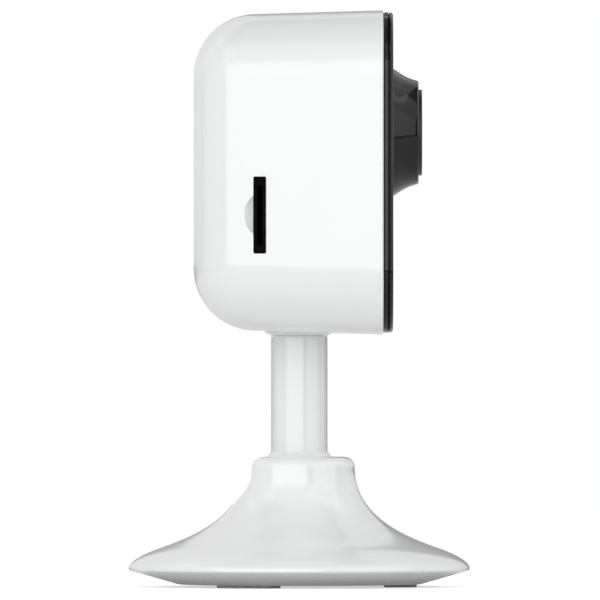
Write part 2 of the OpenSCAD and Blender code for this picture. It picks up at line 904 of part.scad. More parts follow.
module socket_cup() {
    color("#dcdcd6")
    difference() {
        translate([0, 0, cup_low_z]) cylinder(r = cup_r, h = cup_top_z - cup_low_z);
        translate([0, 0, pivot_z]) sphere(r = seat_r);
        cylinder(r = 2, h = 20);
    }
}

module disc_spring() {
    low = retainer_z + 2.02;
    color(steel)
    rotate_extrude()
        polygon([[4.2, low + 0.58], [4.2, low + 0.96], [8.2, low + 0.38], [8.2, low]]);
}

module cup_retainer() {
    color(steel)
    difference() {
        translate([0, 0, retainer_z]) cylinder(r = retainer_r, h = 1.98);
        cylinder(r = 3, h = 20);
        for (a = retainer_angles)
            rotate([0, 0, a]) translate([retainer_bolt_ring, 0, 0]) cylinder(r = 1.1, h = 20);
    }
}

module retainer_screws() {
    color(steel)
    for (a = retainer_angles)
        rotate([0, 0, a]) translate([retainer_bolt_ring, 0, retainer_z - seat_gap])
            screw(0.9, 5, 1.8, 1.3);
}

module ballast_ring() {
    color("#8d9095")
    difference() {
        union() {
            translate([0, 0, ballast_z]) cylinder(r = 25.5, h = 2.1);
            translate([0, 0, ballast_z + 2]) cylinder(r = 21.5, h = 1.4);
        }
        cylinder(r = 15, h = 20);
        for (a = foot_angles)
            rotate([0, 0, a]) translate([foot_ring, 0, 0]) cylinder(r = 2.8, h = 20);
    }
}

// Outline of a foot: a short, wide pad whose long side follows the base's round edge
module foot_shape(a, grow, z0, z1) {
    rotate([0, 0, a]) translate([foot_ring, 0, z0])
        linear_extrude(z1 - z0)
            polygon(round_rect(foot_len + grow, foot_wid + grow, foot_corner_r + grow / 2));
}

module base_plate() {
    color("#b5b8b9")
    difference() {
        rotate_extrude() polygon([
            [0, foot_h], [plate_flat_r, foot_h], [plate_r, 2.62], [plate_r, rim_z - 0.08],
            [27.5, rim_z - 0.08], [24.6, plate_top_z], [0, plate_top_z]
        ]);
        for (a = foot_angles) {
            foot_shape(a, 0.1, 0, foot_h + foot_recess);
            rotate([0, 0, a]) translate([foot_ring, 0, 0]) cylinder(r = 1.3, h = 5);
            rotate([0, 0, a]) translate([foot_ring, 0, 0]) cylinder(r = 2.3, h = 1.75);
        }
    }
}

module foot(a) {
    color("#3c3d3f") foot_shape(a, 0, 0, foot_h + foot_recess - seat_gap);
}

module foot_1() {
    foot(foot_angles[0]);
}

module foot_2() {
    foot(foot_angles[1]);
}

module foot_3() {
    foot(foot_angles[2]);
}

module base_screws() {
    head_h = 0.7;
    color(steel)
    for (a = foot_angles)
        rotate([0, 0, a]) translate([foot_ring, 0, 1.73]) screw(1.1, 5, 2.2, head_h);
}

head_casing();
front_panel();
front_frame();
case_screws();
lens_housing();
lens_trim_ring();
cover_glass();
lens_baffle();
lens_barrel();
front_lens();
rear_lens();
lens_mount();
filter_housing();
filter_slide();
infrared_filter();
clear_filter();
filter_coil();
image_sensor();
sensor_board();
sensor_screws();
board_connector();
main_board();
board_screws();
processor();
memory_chip();
thermal_pad();
heat_spreader();
card_socket();
led_board();
infrared_leds();
light_sensor();
status_led();
light_pipe();
microphone();
microphone_boot();
speaker();
speaker_cone();
speaker_gasket();
port_board();
port_ribbon();
power_inlet();
reset_switch();
reset_button();
antenna();
antenna_cable();
stem();
friction_ring();
stem_washer();
stem_screw();
base_shell();
socket_cup();
disc_spring();
cup_retainer();
retainer_screws();
ballast_ring();
base_plate();
foot_1();
foot_2();
foot_3();
base_screws();
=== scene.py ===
"""Small indoor security camera: visible surfaces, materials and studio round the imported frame.

Sizes, outlines and rings are in millimetres; meshes, lights and the camera are in metres. +Z is
up, the lens faces -Y, and the origin is on the floor under the stem.
"""

import json
import math

import bmesh
import bpy
import numpy as np
from mathutils import Matrix, Vector


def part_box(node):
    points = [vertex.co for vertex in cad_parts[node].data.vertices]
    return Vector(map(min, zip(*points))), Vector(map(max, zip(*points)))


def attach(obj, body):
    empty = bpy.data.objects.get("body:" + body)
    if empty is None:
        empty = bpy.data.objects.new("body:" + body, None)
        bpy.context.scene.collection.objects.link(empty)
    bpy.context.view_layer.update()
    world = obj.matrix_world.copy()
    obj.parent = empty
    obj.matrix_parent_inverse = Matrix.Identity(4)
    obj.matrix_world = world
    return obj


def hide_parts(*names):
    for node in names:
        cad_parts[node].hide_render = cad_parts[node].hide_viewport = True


MM = 0.001
SHARP_ANGLE = math.radians(32)
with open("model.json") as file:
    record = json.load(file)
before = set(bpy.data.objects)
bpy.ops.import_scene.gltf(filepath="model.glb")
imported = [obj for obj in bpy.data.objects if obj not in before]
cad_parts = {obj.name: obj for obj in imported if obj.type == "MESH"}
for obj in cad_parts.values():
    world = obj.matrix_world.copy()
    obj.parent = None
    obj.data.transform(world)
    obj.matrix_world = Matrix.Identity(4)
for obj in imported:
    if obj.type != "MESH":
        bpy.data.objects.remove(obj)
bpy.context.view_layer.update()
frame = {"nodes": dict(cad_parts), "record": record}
NODES = frame["nodes"]


# ---------------------------------------------------------------- sizes, in millimetres

def box_mm(node):
    low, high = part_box(node)
    return low / MM, high / MM


CASING_LOW, CASING_HIGH = box_mm("head_casing")
PANEL_LOW, PANEL_HIGH = box_mm("front_panel")
HOUSING_LOW, HOUSING_HIGH = box_mm("lens_housing")
TRIM_LOW, TRIM_HIGH = box_mm("lens_trim_ring")
STEM_LOW, STEM_HIGH = box_mm("stem")
BASE_HIGH = box_mm("base_shell")[1]
PLATE_LOW, PLATE_HIGH = box_mm("base_plate")

HEAD_HALF = CASING_HIGH.x
HEAD_Z = CASING_HIGH.z - HEAD_HALF
CASING_FRONT = CASING_LOW.y
CASING_BACK = CASING_HIGH.y
DRAFT = math.radians(1.67)
CORNER_R = 12.0
BACK_ROUND = 11.25
WALL = 1.8
LENS_Z = (HOUSING_LOW.z + HOUSING_HIGH.z) / 2
STEM_R = 5.27
PIVOT_Z = STEM_LOW.z + STEM_HIGH.x
BALL_R = STEM_HIGH.x
NECK_Z = BASE_HIGH.z
NECK_SLOT = 5.45
SLOT_W, SLOT_L = 2.35, 14.3
SLOT_Y, SLOT_Z = 7.36, 69.6
SCOOP_R = 4.5
SCOOP_EDGE_Y = 10.3
BUTTON_LOW, BUTTON_HIGH = box_mm("reset_button")
PORT_LOW, PORT_HIGH = box_mm("power_inlet")
BUTTON_X = (BUTTON_LOW.x + BUTTON_HIGH.x) / 2
# The button and the power inlet are in one row
REAR_ROW_Z = (BUTTON_LOW.z + BUTTON_HIGH.z) / 2
SPEAKER_LOW, SPEAKER_HIGH = box_mm("speaker")
SPEAKER_Z = (SPEAKER_LOW.z + SPEAKER_HIGH.z) / 2
MIC_LOW, MIC_HIGH = box_mm("microphone")
MIC_Z = (MIC_LOW.z + MIC_HIGH.z) / 2
PIPE_LOW, PIPE_HIGH = box_mm("light_pipe")
PIPE_X = (PIPE_LOW.x + PIPE_HIGH.x) / 2
PIPE_Z = (PIPE_LOW.z + PIPE_HIGH.z) / 2


def casing_half(y):
    """Half the casing's width at a distance y behind the stem's axis."""
    return HEAD_HALF - (y - CASING_FRONT) * math.tan(DRAFT)


# ---------------------------------------------------------------- mesh helpers

def add_object(name, data):
    obj = bpy.data.objects.new(name, data)
    bpy.context.scene.collection.objects.link(obj)
    return obj


def new_mesh(name, verts_mm, faces):
    """A mesh object from points in millimetres, smooth except over sharp edges."""
    mesh = bpy.data.meshes.new(name)
    mesh.from_pydata([Vector(v) * MM for v in verts_mm], [], faces)
    mesh.validate()
    outward(mesh)
    smooth(mesh)
    return add_object(name, mesh)


def outward(mesh):
    bm = bmesh.new()
    bm.from_mesh(mesh)
    bmesh.ops.recalc_face_normals(bm, faces=bm.faces[:])
    bm.to_mesh(mesh)
    bm.free()


def smooth(mesh):
    mesh.shade_smooth()
    mesh.set_sharp_from_angle(angle=SHARP_ANGLE)


def loft(name, rings):
    """Quads between rings of equal length, with flat caps on the ends."""
    count = len(rings[0])
    verts = [p for ring in rings for p in ring]
    faces = []
    for k in range(len(rings) - 1):
        a, b = k * count, (k + 1) * count
        for i in range(count):
            j = (i + 1) % count
            faces.append((a + i, a + j, b + j, b + i))
    faces.append(tuple(reversed(range(count))))
    faces.append(tuple(range(len(verts) - count, len(verts))))
    return new_mesh(name, verts, faces)


def arc(cx, cy, r, a0, a1, steps):
    """Points on an arc, with angles in degrees."""
    angles = [math.radians(a0 + (a1 - a0) * i / steps) for i in range(steps + 1)]
    return [(cx + r * math.cos(a), cy + r * math.sin(a)) for a in angles]


def fillet(outline):
    """Rounds the corners of a closed outline of (x, y, radius) points."""
    steps = 5
    nearly_straight = math.radians(88)
    points = []
    count = len(outline)
    for i, (x, y, r) in enumerate(outline):
        if r <= 0:
            points.append((x, y))
            continue
        here = Vector((x, y))
        before = (Vector(outline[i - 1][:2]) - here).normalized()
        after = (Vector(outline[(i + 1) % count][:2]) - here).normalized()
        half = before.angle(after) / 2
        if half > nearly_straight:
            points.append((x, y))
            continue
        reach = r / math.tan(half)
        centre = here + (before + after).normalized() * (r / math.sin(half))
        start, end = here + before * reach - centre, here + after * reach - centre
        turn = start.angle_signed(end)
        for k in range(steps + 1):
            a = -turn * k / steps
            c, s = math.cos(a), math.sin(a)
            points.append((centre.x + start.x * c - start.y * s,
                           centre.y + start.x * s + start.y * c))
    return points


def lathe(name, outline, axis="Z", centre_z=0.0, segments=160):
    """Turns a closed outline of (radius, height) about Z, or about the lens axis along Y."""
    verts, faces = [], []
    rows = []
    for r, h in outline:
        if r < 1e-6:
            rows.append([len(verts)])
            verts.append((0, 0, h) if axis == "Z" else (0, h, centre_z))
            continue
        rows.append(list(range(len(verts), len(verts) + segments)))
        for k in range(segments):
            a = 2 * math.pi * k / segments
            c, s = r * math.cos(a), r * math.sin(a)
            verts.append((c, s, h) if axis == "Z" else (c, h, centre_z + s))
    for i, row in enumerate(rows):
        following = rows[(i + 1) % len(rows)]
        if len(row) == 1 and len(following) == 1:
            continue
        for k in range(segments):
            m = (k + 1) % segments
            quad = [row[k % len(row)], row[m % len(row)],
                    following[m % len(following)], following[k % len(following)]]
            faces.append(tuple(dict.fromkeys(quad)))
    return new_mesh(name, verts, faces)


def shift_x(obj, x):
    obj.data.transform(Matrix.Translation((x * MM, 0, 0)))
    return obj


def square_ring(y, half_w, half_h, r, centre=(0.0, 0.0), steps=14, support=0.3):
    """Rounded rectangle in the XZ plane, with extra points on the flats beside each corner."""
    ring = []
    for sx, sz, a0 in ((1, 1, 0), (-1, 1, 90), (-1, -1, 180), (1, -1, 270)):
        cx, cz = sx * (half_w - r), sz * (half_h - r)
        corner = arc(cx, cz, r, a0, a0 + 90, steps)
        first, last = Vector(corner[0]), Vector(corner[-1])
        along = math.radians(a0)
        tangent = Vector((-math.sin(along), math.cos(along)))
        corner = [tuple(first - tangent * support)] + corner
        along += math.pi / 2
        tangent = Vector((-math.sin(along), math.cos(along)))
        corner.append(tuple(last + tangent * support))
        ring += [(centre[0] + px, y, centre[1] + pz) for px, pz in corner]
    return ring


def cut(obj, cutter):
    """Takes the cutter's volume out of obj."""
    modifier = obj.modifiers.new("cut", "BOOLEAN")
    modifier.operation = "DIFFERENCE"
    modifier.solver = "EXACT"
    modifier.object = cutter
    apply_modifiers(obj)
    bpy.data.objects.remove(cutter)
    smooth(obj.data)


def apply_modifiers(obj):
    bpy.context.view_layer.update()
    evaluated = obj.evaluated_get(bpy.context.evaluated_depsgraph_get())
    mesh = bpy.data.meshes.new_from_object(evaluated)
    obj.modifiers.clear()
    old = obj.data
    obj.data = mesh
    bpy.data.meshes.remove(old)


def join(name, objects):
    """Makes one mesh of several that lie apart from each other."""
    bm = bmesh.new()
    for obj in objects:
        bm.from_mesh(obj.data)
    mesh = bpy.data.meshes.new(name)
    bm.to_mesh(mesh)
    bm.free()
    for obj in objects:
        bpy.data.objects.remove(obj)
    return add_object(name, mesh)


def flatten_shading(obj):
    """Lets the large flat faces rule the shading at their edges."""
    weigh = obj.modifiers.new("weigh", "WEIGHTED_NORMAL")
    weigh.mode = "FACE_AREA"
    weigh.weight = 100
    weigh.thresh = 0.01
    weigh.keep_sharp = True
    apply_modifiers(obj)


def bevel_edges(obj, width_mm, wanted):
    """Rounds the sharp edges whose middle point, in millimetres, passes the test."""
    least_angle = math.radians(35)
    bm = bmesh.new()
    bm.from_mesh(obj.data)
    edges = []
    for edge in bm.edges:
        if len(edge.link_faces) != 2 or edge.calc_face_angle() < least_angle:
            continue
        middle = (edge.verts[0].co + edge.verts[1].co) / (2 * MM)
        if wanted(middle):
            edges.append(edge)
    bmesh.ops.bevel(bm, geom=edges, offset=width_mm * MM, segments=3,
                    profile=0.5, affect="EDGES", clamp_overlap=True)
    bm.to_mesh(obj.data)
    bm.free()
    smooth(obj.data)


CUTTER_REACH = 1.0
LIP_PROUD = 0.01


def lip_profile(lip, depth):
    """Profile of a cutter that rounds a hole's lip, as (height over the face, growth)."""
    rounding = [(-lip + lip * math.cos(a) + LIP_PROUD, lip - lip * math.sin(a))
                for a in (math.radians(18 * k) for k in range(6))]
    return [(CUTTER_REACH, lip)] + rounding + [(-depth, 0.0)]


def flared_round(x, z, r, mouth, depth, lip):
    """Cutter for a round hole in the rear wall, with a rounded lip at the wall's outer face."""
    outline = [(0, mouth + CUTTER_REACH)]
    outline += [(r + grow, mouth + out) for out, grow in lip_profile(lip, depth)]
    outline.append((0, mouth - depth))
    return shift_x(lathe("cutter", outline, axis="Y", centre_z=z, segments=32), x)


# ---------------------------------------------------------------- materials

def material(name):
    made = bpy.data.materials.new(name)
    made.use_nodes = True
    tree = made.node_tree
    return made, tree, tree.nodes["Principled BSDF"]


def node(tree, kind, **inputs):
    made = tree.nodes.new(kind)
    for key, value in inputs.items():
        made.inputs[key.replace("_", " ")].default_value = value
    return made


def math_node(tree, operation, *inputs):
    """Output of a maths node whose inputs are numbers or sockets."""
    made = tree.nodes.new("ShaderNodeMath")
    made.operation = operation
    for socket, value in zip(made.inputs, inputs):
        if isinstance(value, (int, float)):
            socket.default_value = value
        else:
            tree.links.new(value, socket)
    return made.outputs["Value"]


def object_coords(tree, scale=(1, 1, 1)):
    coords = tree.nodes.new("ShaderNodeTexCoord")
    mapping = tree.nodes.new("ShaderNodeMapping")
    mapping.inputs["Scale"].default_value = scale
    tree.links.new(coords.outputs["Object"], mapping.inputs["Vector"])
    return mapping.outputs["Vector"]


def noise(tree, vector, scale, detail, roughness=0.5):
    made = node(tree, "ShaderNodeTexNoise", Scale=scale, Detail=detail, Roughness=roughness)
    tree.links.new(vector, made.inputs["Vector"])
    return made.outputs["Fac"]


def ramp(tree, fac, low, high, start=0.0, end=1.0):
    """Colour ramp between two colours."""
    made = tree.nodes.new("ShaderNodeValToRGB")
    made.color_ramp.elements[0].position = start
    made.color_ramp.elements[0].color = (*low, 1)
    made.color_ramp.elements[1].position = end
    made.color_ramp.elements[1].color = (*high, 1)
    tree.links.new(fac, made.inputs["Fac"])
    return made.outputs["Color"]


def remap(tree, fac, low, high):
    made = node(tree, "ShaderNodeMapRange", To_Min=low, To_Max=high)
    tree.links.new(fac, made.inputs["Value"])
    return made.outputs["Result"]


def bump(tree, shader, height, strength, distance):
    made = node(tree, "ShaderNodeBump", Strength=strength, Distance=distance)
    tree.links.new(height, made.inputs["Height"])
    tree.links.new(made.outputs["Normal"], shader.inputs["Normal"])


def moulded(name, base, rough, spread=0.012, grain_scale=2600, grain=0.05, grain_depth=4e-6,
            coat=0.0, coat_rough=0.05, ior=1.5):
    """Moulded plastic: faint mottling in colour and gloss, and a fine grain in its skin."""
    made, tree, shader = material(name)
    where = object_coords(tree)
    cloud = noise(tree, where, 38.0, 4.0)
    low = [max(0.0, c * (1 - spread)) for c in base]
    high = [min(1.0, c * (1 + spread)) for c in base]
    tree.links.new(ramp(tree, cloud, low, high, 0.3, 0.7), shader.inputs["Base Color"])
    fine = noise(tree, where, grain_scale, 2.0)
    tree.links.new(remap(tree, cloud, rough * 0.9, rough * 1.12), shader.inputs["Roughness"])
    bump(tree, shader, fine, grain, grain_depth)
    shader.inputs["IOR"].default_value = ior
    shader.inputs["Coat Weight"].default_value = coat
    shader.inputs["Coat Roughness"].default_value = coat_rough
    return made


def metal(name, base, rough, stretch=(60, 60, 900)):
    """Rolled or turned metal with fine directional marks."""
    made, tree, shader = material(name)
    lines = noise(tree, object_coords(tree, stretch), 6.0, 5.0, 0.65)
    low = [c * 0.82 for c in base]
    tree.links.new(ramp(tree, lines, low, base, 0.25, 0.75), shader.inputs["Base Color"])
    tree.links.new(remap(tree, lines, rough * 0.75, rough * 1.3), shader.inputs["Roughness"])
    shader.inputs["Metallic"].default_value = 1.0
    bump(tree, shader, lines, 0.08, 2e-5)
    return made


def rubber(name, base):
    made, tree, shader = material(name)
    where = object_coords(tree)
    speck = noise(tree, where, 1500, 4.0, 0.7)
    high = [c * 1.5 for c in base]
    tree.links.new(ramp(tree, speck, base, high, 0.35, 0.75), shader.inputs["Base Color"])
    tree.links.new(remap(tree, speck, 0.72, 0.92), shader.inputs["Roughness"])
    bump(tree, shader, speck, 0.25, 2e-5)
    return made


def circuit_board(name):
    """Solder mask over copper: straight tracks as fine raised lines, and small round pads."""
    made, tree, shader = material(name)
    where = object_coords(tree)
    tracks = node(tree, "ShaderNodeTexBrick", Scale=260.0, Mortar_Size=0.035, Mortar_Smooth=0.2,
                  Brick_Width=0.9, Row_Height=0.22)
    tracks.offset = 0.37
    tracks.inputs["Color1"].default_value = (0.012, 0.085, 0.036, 1)
    tracks.inputs["Color2"].default_value = (0.016, 0.105, 0.045, 1)
    tracks.inputs["Mortar"].default_value = (0.05, 0.20, 0.09, 1)
    tree.links.new(where, tracks.inputs["Vector"])
    pads = node(tree, "ShaderNodeTexVoronoi", Scale=420.0)
    tree.links.new(where, pads.inputs["Vector"])
    pad_radius = 0.16
    is_pad = math_node(tree, "LESS_THAN", pads.outputs["Distance"], pad_radius)
    mix = tree.nodes.new("ShaderNodeMix")
    mix.data_type = "RGBA"
    tree.links.new(is_pad, mix.inputs["Factor"])
    tree.links.new(tracks.outputs["Color"], mix.inputs["A"])
    mix.inputs["B"].default_value = (0.55, 0.50, 0.36, 1)
    tree.links.new(mix.outputs["Result"], shader.inputs["Base Color"])
    tree.links.new(remap(tree, pads.outputs["Distance"], 0.25, 0.4), shader.inputs["Roughness"])
    bump(tree, shader, tracks.outputs["Fac"], 0.3, 3e-5)
    return made


def glass(name, tint, rough=0.02, coat_tint=(0.75, 0.85, 1.0)):
    """Coated optical glass: clear, with a faint bloom that colours its highlights."""
    made, tree, shader = material(name)
    bloom = noise(tree, object_coords(tree), 120, 2.0)
    low = [c * 0.96 for c in tint]
    tree.links.new(ramp(tree, bloom, low, tint), shader.inputs["Base Color"])
    tree.links.new(remap(tree, bloom, rough * 0.6, rough * 1.4), shader.inputs["Roughness"])
    shader.inputs["Transmission Weight"].default_value = 1.0
    shader.inputs["IOR"].default_value = 1.5
    shader.inputs["Specular Tint"].default_value = (*coat_tint, 1)
    return made


WHITE = moulded("white_plastic", (0.75, 0.758, 0.757), 0.25, coat=1.0, coat_rough=0.13)
BLACK_GLOSS = moulded("black_gloss_plastic", (0.005, 0.005, 0.0053), 0.07, spread=0.1,
                      grain=0.02, ior=1.42)
BLACK = moulded("black_plastic", (0.016, 0.016, 0.017), 0.42, spread=0.12,
                grain_scale=1800, grain=0.15, grain_depth=1e-5)
# Near-black, dull card socket: partly the socket's own black, partly painted shade of the deep
# card slot
SOCKET_BLACK_AND_SLOT_SHADE = moulded("socket_black_and_painted_slot_shade", (0.006, 0.006, 0.006), 0.6, spread=0.2,
                     grain_scale=1800, grain=0.15, grain_depth=1e-5, ior=1.15)
# Light grey of the bottom plate: partly the plate's own pale grey, partly painted shade of the
# underside that faces the floor
GREY_AND_UNDERSIDE_SHADE = moulded("grey_plastic_and_underside_shade", (0.66, 0.67, 0.675), 0.42, spread=0.02,
               grain_scale=1800, grain=0.12, grain_depth=8e-6)
CREAM = moulded("natural_plastic", (0.70, 0.68, 0.61), 0.40, spread=0.03,
                grain_scale=1500, grain=0.1, grain_depth=8e-6)
CHIP = moulded("chip_plastic", (0.022, 0.023, 0.026), 0.5, spread=0.2,
               grain_scale=3500, grain=0.3, grain_depth=8e-6)
DIE = moulded("sensor_die", (0.05, 0.055, 0.12), 0.12, spread=0.25,
              grain_scale=5000, grain=0.1, grain_depth=2e-6, coat=0.6)
COPPER_WIRE = metal("enamelled_wire", (0.72, 0.30, 0.12), 0.30, (20, 900, 20))
RIBBON = moulded("flat_cable", (0.42, 0.20, 0.04), 0.30, spread=0.10,
                 grain_scale=900, grain=0.2, grain_depth=1e-5, coat=0.3)
PAPER_CONE = moulded("speaker_cone_paper", (0.03, 0.03, 0.032), 0.85, spread=0.25,
                     grain_scale=900, grain=0.5, grain_depth=3e-5)
STEEL = metal("steel", (0.62, 0.63, 0.65), 0.28)
ALUMINIUM = metal("aluminium", (0.86, 0.87, 0.88), 0.34, (800, 60, 60))
RUBBER = rubber("rubber", (0.27, 0.27, 0.275))
PAD = rubber("thermal_silicone", (0.30, 0.36, 0.42))
BOARD = circuit_board("circuit_board")
CLEAR = glass("clear_glass", (0.97, 0.985, 1.0))
CYAN = glass("filter_glass", (0.55, 0.90, 0.86), 0.02, (1.0, 0.45, 0.40))
COATED_LENS = glass("coated_lens", (0.30, 0.32, 0.40), 0.02, (0.80, 0.62, 1.0))
EPOXY = moulded("led_epoxy", (0.10, 0.05, 0.11), 0.10, spread=0.15,
                grain_scale=400, grain=0.05, grain_depth=4e-6, coat=0.8)

SLOT_LOOKS = {
    "white_shell": WHITE, "black_gloss": BLACK_GLOSS, "black_matte": BLACK, "grey_plate": GREY_AND_UNDERSIDE_SHADE,
    "cream_plastic": CREAM, "circuit_board": BOARD, "chip": CHIP, "sensor_die": DIE,
    "steel": STEEL, "aluminium": ALUMINIUM, "copper_coil": COPPER_WIRE, "ribbon": RIBBON,
    "speaker_paper": PAPER_CONE, "rubber": RUBBER, "clear_glass": CLEAR, "filter_glass": CYAN,
    "led_epoxy": EPOXY, "silicone_pad": PAD,
}

# Nodes whose look differs from the rest of their slot. The card socket's near-black is partly its
# own black and partly painted shade deep in the card slot.
NODE_LOOKS = {"card_socket": SOCKET_BLACK_AND_SLOT_SHADE, "front_lens": COATED_LENS, "rear_lens": COATED_LENS}


def dress_cad_nodes():
    """Gives every CAD node the look of its material slot, or its own."""
    slots = {s["node"]: s["material_slot"] for s in frame["record"]["subparts"]}
    for name, obj in NODES.items():
        look = NODE_LOOKS.get(name, SLOT_LOOKS[slots[name]])
        obj.data.materials.clear()
        obj.data.materials.append(look)


def finish_piece(obj, look, body, slot, *replaced):
    """Gives a piece its look and body, and hides the CAD nodes that it stands for. The slot
    argument is not used.
    """
    obj.data.materials.clear()
    obj.data.materials.append(look)
    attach(obj, body)
    if replaced:
        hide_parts(*replaced)


# ---------------------------------------------------------------- head

def casing_rings(wall, front, back_steps):
    """Rings of the casing's form, set in by wall, from its front edge to its flat back."""
    centre = (0.0, HEAD_Z)
    corner = CORNER_R - wall
    round_r = BACK_ROUND - wall
    back = CASING_BACK - wall
    support = 0.4
    rings = []

    def ring(y, inset, r):
        half = casing_half(y) - wall - inset
        rings.append(square_ring(y, half, half, r, centre))

    ring(front, 0, corner)
    ring(back - round_r - support, 0, corner)
    for k in range(back_steps + 1):
        a = math.radians(90 * k / back_steps)
        inset = round_r * (1 - math.cos(a))
        ring(back - round_r * (1 - math.sin(a)), inset, corner - inset)
    return rings


def slot_cutter():
    """Card slot with a rounded lip, square to the drafted side."""
    corner_r = 0.3
    rings = []
    for out, grow in lip_profile(lip=0.22, depth=3.2):
        ring = square_ring(0, SLOT_W / 2 + grow, SLOT_L / 2 + grow, corner_r + grow, steps=6,
                           support=0.05)
        rings.append([(-out, x, z) for x, _, z in ring])
    cutter = loft("cutter", rings)
    return set_on_side(cutter, SLOT_Y, SLOT_Z)


def scoop_cutter():
    """Finger scoop behind the slot: part of a circle whose floor slopes down to the slot."""
    slope = 0.86
    edge_depth = 0.2
    centre = SCOOP_EDGE_Y - SCOOP_R - SLOT_Y
    half_angle = math.degrees(math.acos(-centre / SCOOP_R))
    outline = arc(centre, 0, SCOOP_R, -half_angle, half_angle, 40)
    top = [(-CUTTER_REACH, y, z) for y, z in outline]
    edge = SCOOP_EDGE_Y - SLOT_Y
    floor = [((edge - y) * slope + edge_depth, y, z) for y, z in outline]
    cutter = loft("cutter", [top, floor])
    return set_on_side(cutter, SLOT_Y, SLOT_Z)


def set_on_side(obj, y, z):
    """Moves a cutter, drawn at the origin and facing -X, onto the drafted left side."""
    place = Matrix.Translation(Vector((-casing_half(y), y, z)) * MM)
    obj.data.transform(place @ Matrix.Rotation(DRAFT, 4, "Z"))
    return obj


REAR_CUT = 5.0


def sound_hole_cutters():
    """One hole in the middle, with rings of 6 and 12 round it."""
    pitch = 3.0
    hole_r = 0.65
    for ring in range(3):
        for i in range(max(1, 6 * ring)):
            a = math.radians(i * 60 / max(1, ring))
            yield flared_round(ring * pitch * math.cos(a), SPEAKER_Z + ring * pitch * math.sin(a),
                               hole_r, CASING_BACK, REAR_CUT, lip=0.15)


def port_cutter():
    clearance = 0.45
    half_w = (PORT_HIGH.x - PORT_LOW.x) / 2 + clearance
    half_h = 1.9
    corner_r = 1.0
    rings = [square_ring(CASING_BACK + out, half_w + grow, half_h + grow, corner_r + grow,
                         (0.0, REAR_ROW_Z), steps=6, support=0.05)
             for out, grow in lip_profile(lip=0.3, depth=REAR_CUT)]
    return loft("cutter", rings)


def button_hole_cutter():
    return flared_round(BUTTON_X, REAR_ROW_Z, 1.96, CASING_BACK, REAR_CUT, lip=0.25)


def make_casing():
    edge_r = 0.45
    outer = casing_rings(0.0, CASING_FRONT + edge_r, 18)
    lip = []
    for k in range(5, -1, -1):
        a = math.radians(90 * k / 5)
        y = CASING_FRONT + edge_r * (1 - math.sin(a))
        inset = edge_r * (1 - math.cos(a))
        half = casing_half(y) - inset
        lip.append(square_ring(y, half, half, CORNER_R - inset, (0.0, HEAD_Z)))
    inner = casing_rings(WALL, CASING_FRONT, 8)
    casing = loft("casing_shell", list(reversed(inner)) + lip + outer[1:])
    cut(casing, scoop_cutter())
    cut(casing, slot_cutter())
    cut(casing, join("cutter", [port_cutter(), *sound_hole_cutters(), button_hole_cutter()]))
    flatten_shading(casing)
    finish_piece(casing, WHITE, "head", "white_shell", "head_casing")


def make_collar():
    """Ring under the head, round the top of the stem."""
    bore_r, foot_z, top_z = 3.7, 47.13, 48.6
    collar = lathe("neck_collar", fillet([
        (bore_r, foot_z, 0), (STEM_R + 0.05, foot_z, 0.1), (6.35, 47.6, 0.4),
        (6.6, top_z, 0), (bore_r, top_z, 0)]))
    finish_piece(collar, WHITE, "head", "white_shell")


def make_panel():
    """Front panel with a groove round its rim, and holes for lens, microphone and light."""
    back = PANEL_HIGH.y
    front = PANEL_LOW.y
    half = PANEL_HIGH.x
    corner = CORNER_R - (HEAD_HALF - half)
    centre = (0.0, HEAD_Z)
    groove_y = back - 1.0
    groove_depth = 0.45
    rim_inset = 0.02
    profile = [(back, 1.0), (back, 0.25), (back - 0.08, 0.12), (back - 0.18, 0.06),
               (back - 0.25, 0.0), (groove_y + 0.16, 0.0), (groove_y + 0.11, 0.06),
               (groove_y, groove_depth), (groove_y - 0.1, 0.08), (groove_y - 0.14, rim_inset)]
    edge_r = groove_y - 0.14 - front
    for k in range(11):
        a = math.radians(90 * k / 10)
        profile.append((front + edge_r * (1 - math.sin(a)),
                        rim_inset + edge_r * (1 - math.cos(a))))
    profile.append((front, edge_r + 0.35))
    rings = [square_ring(y, half - inset, half - inset, corner - inset, centre)
             for y, inset in profile]
    panel = loft("front_cover", rings)
    lens_r, microphone_r, light_r = 9.6, 0.62, 1.0
    bevel = 0.12
    for r, z, x, segments in ((lens_r, LENS_Z, 0.0, 96), (microphone_r, MIC_Z, 0.0, 32),
                              (light_r, PIPE_Z, PIPE_X, 32)):
        outline = [(0, front - 1), (r + bevel, front - 1), (r + bevel, front - 0.01),
                   (r, front + 0.11), (r, back + 1), (0, back + 1)]
        cutter = lathe("cutter", outline, axis="Y", centre_z=z, segments=segments)
        cut(panel, shift_x(cutter, x))
    flatten_shading(panel)
    finish_piece(panel, BLACK_GLOSS, "head", "black_gloss", "front_panel")


def cubic(p, t):
    """Point at t on the Bezier curve with four control points."""
    s = 1 - t
    return tuple(s ** 3 * a + 3 * s * s * t * b + 3 * s * t * t * c + t ** 3 * d
                 for a, b, c, d in zip(*p))


